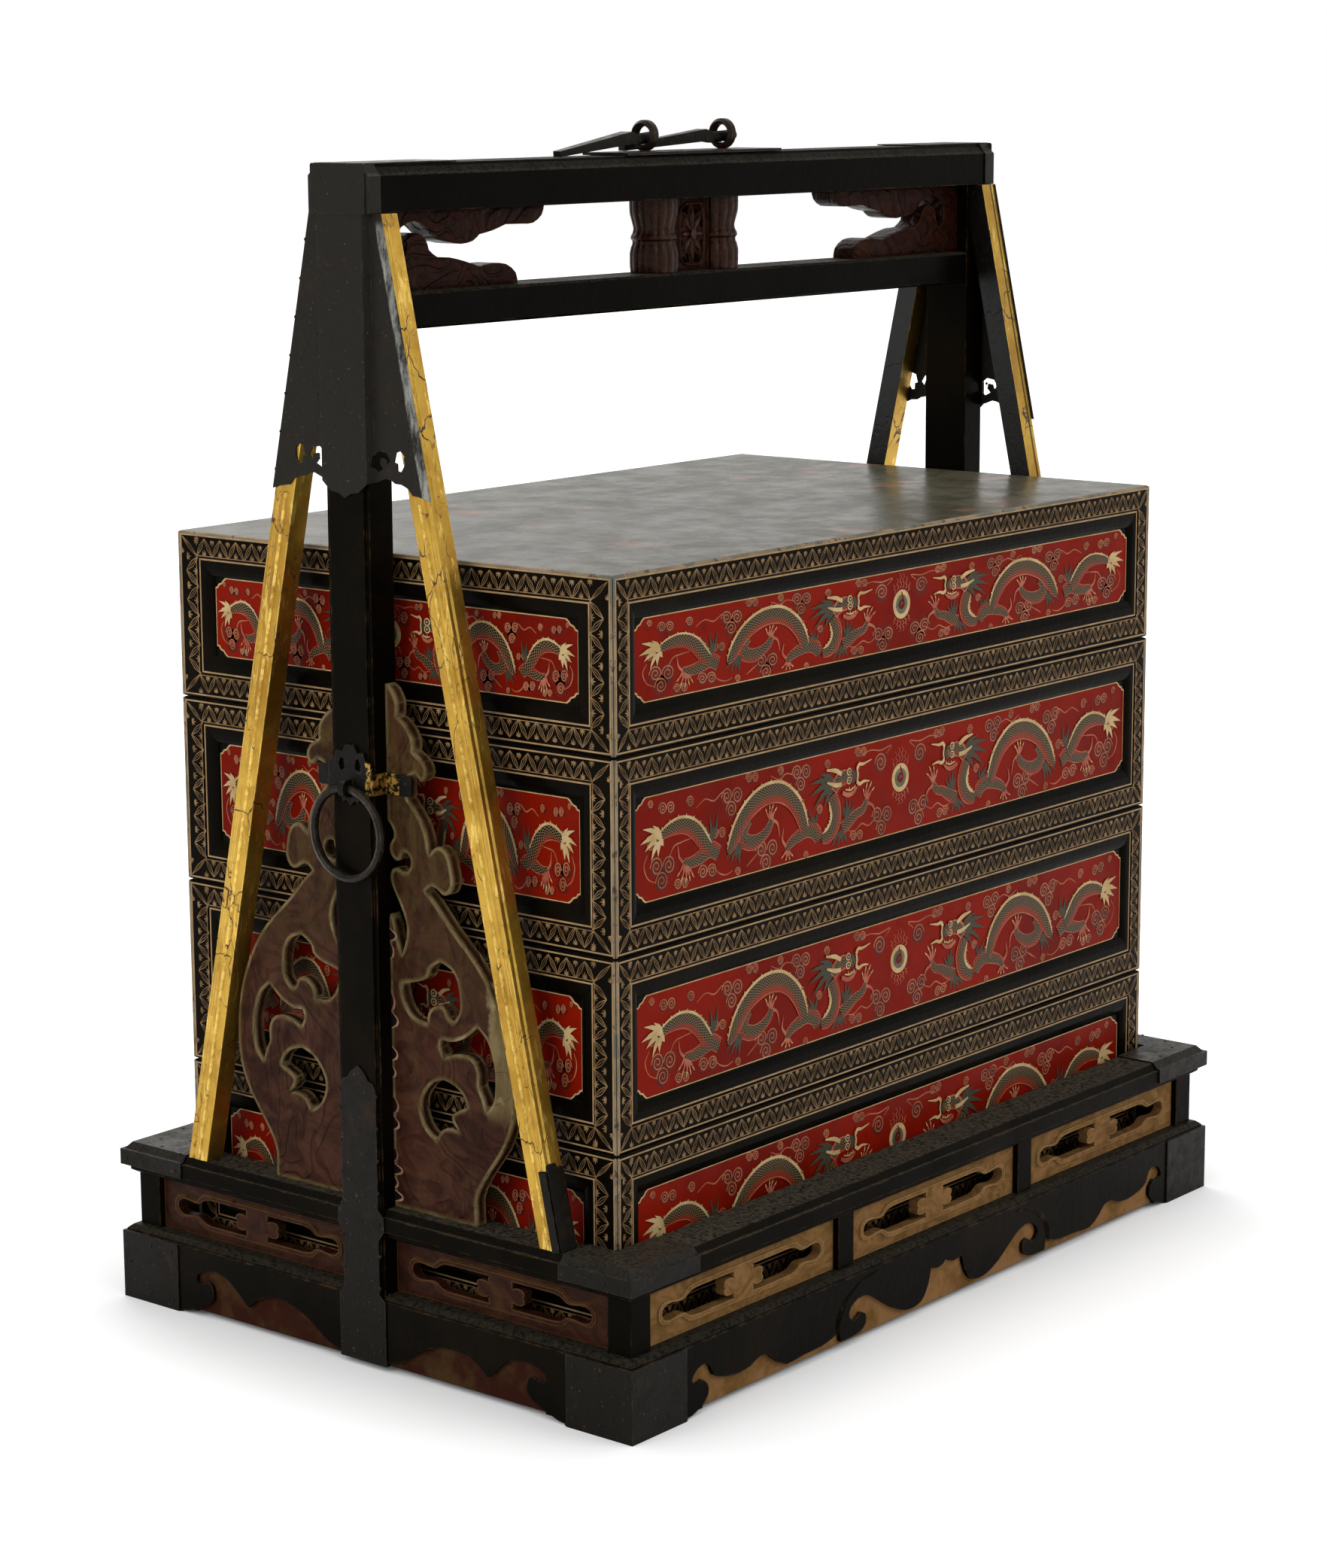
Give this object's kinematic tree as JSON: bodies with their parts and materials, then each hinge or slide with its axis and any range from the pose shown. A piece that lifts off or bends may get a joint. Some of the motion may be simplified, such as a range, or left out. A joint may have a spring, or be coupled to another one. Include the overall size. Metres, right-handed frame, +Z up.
{
  "type": "lacquered marriage chest",
  "caption": "Nested lacquered boxes with a deep lid in a footed openwork tray, under an iron-mounted carrying frame with leaning struts, scroll wings and ring handles.",
  "frame": {"origin": "on the floor, at the middle of the plinth", "axes": "+X along the long side, +Y along the short side, +Z up"},
  "size_m": [0.9276, 0.605, 1.0585],
  "materials": {
    "black_lacquer": "black lacquer, worn at the edges",
    "box_lacquer": "painted and lacquered, glossy",
    "ochre_paint": "worn ochre paint",
    "brown_paint": "worn dark red paint",
    "wing_paint": "brushed brown-red paint",
    "carved_red": "carved, dark red lacquer",
    "gilt": "worn gilding over red",
    "iron": "dark wrought iron"
  },
  "bodies": {
    "frame": {"apron_front": "black_lacquer", "apron_back": "black_lacquer", "apron_left": "black_lacquer", "apron_right": "black_lacquer", "tray_floor": "black_lacquer", "rail_front": "black_lacquer", "rail_back": "black_lacquer", "rail_left": "black_lacquer", "rail_right": "black_lacquer", "panel_front_left": "ochre_paint", "panel_front_middle": "ochre_paint", "panel_front_right": "ochre_paint", "panel_back_left": "ochre_paint", "panel_back_middle": "ochre_paint", "panel_back_right": "ochre_paint", "panel_left_front": "brown_paint", "panel_left_back": "brown_paint", "panel_right_front": "brown_paint", "panel_right_back": "brown_paint", "plinth_iron_front_left": "iron", "plinth_iron_front_right": "iron", "plinth_iron_back_left": "iron", "plinth_iron_back_right": "iron", "rail_iron_front_left": "iron", "rail_iron_front_right": "iron", "rail_iron_back_left": "iron", "rail_iron_back_right": "iron", "post_left": "black_lacquer", "post_right": "black_lacquer", "foot_iron_left": "iron", "foot_iron_right": "iron", "sheath_left": "iron", "sheath_right": "iron", "handle_mount_left": "iron", "handle_mount_right": "iron", "strut_left_front": "gilt", "strut_left_back": "gilt", "strut_right_front": "gilt", "strut_right_back": "gilt", "wing_left_front": "wing_paint", "wing_left_back": "wing_paint", "wing_right_front": "wing_paint", "wing_right_back": "wing_paint", "beam": "black_lacquer", "lower_rail": "black_lacquer", "spandrel_left": "carved_red", "spandrel_right": "carved_red", "centre_block": "carved_red", "top_plate": "iron", "eye_left": "iron", "eye_right": "iron"},
    "tier_bottom": {"tier_bottom": "box_lacquer"},
    "tier_middle": {"tier_middle": "box_lacquer"},
    "tier_upper": {"tier_upper": "box_lacquer"},
    "lid": {"lid": "box_lacquer"},
    "ring_handle_left": {"ring_handle_left": "iron"},
    "ring_handle_right": {"ring_handle_right": "iron"},
    "tongue_left": {"tongue_left": "iron"},
    "tongue_right": {"tongue_right": "iron"}
  },
  "joints": [
    {"name": "tier_bottom_lift", "type": "slide", "parent": "frame", "child": "tier_bottom", "axis": [0, 0, 1], "range_m": [0, 0.088]},
    {"name": "tier_middle_lift", "type": "slide", "parent": "tier_bottom", "child": "tier_middle", "axis": [0, 0, 1], "range_m": [0, 0.032]},
    {"name": "tier_upper_lift", "type": "slide", "parent": "tier_middle", "child": "tier_upper", "axis": [0, 0, 1], "range_m": [0, 0.032]},
    {"name": "lid_lift", "type": "slide", "parent": "tier_upper", "child": "lid", "axis": [0, 0, 1], "range_m": [0, 0.032]},
    {"name": "ring_left_swing", "type": "hinge", "parent": "frame", "child": "ring_handle_left", "pos_m": [-0.456, 0, 0.512], "axis": [0, 1, 0], "range_deg": [0, 100]},
    {"name": "ring_right_swing", "type": "hinge", "parent": "frame", "child": "ring_handle_right", "pos_m": [0.456, 0, 0.512], "axis": [0, -1, 0], "range_deg": [0, 100]},
    {"name": "tongue_left_lift", "type": "hinge", "parent": "frame", "child": "tongue_left", "pos_m": [-0.056, 0, 1.0337], "axis": [0, 1, 0], "range_deg": [0, 30]},
    {"name": "tongue_right_lift", "type": "hinge", "parent": "frame", "child": "tongue_right", "pos_m": [0.056, 0, 1.0337], "axis": [0.1822, 0.9833, 0], "range_deg": [0, 30]}
  ]
}
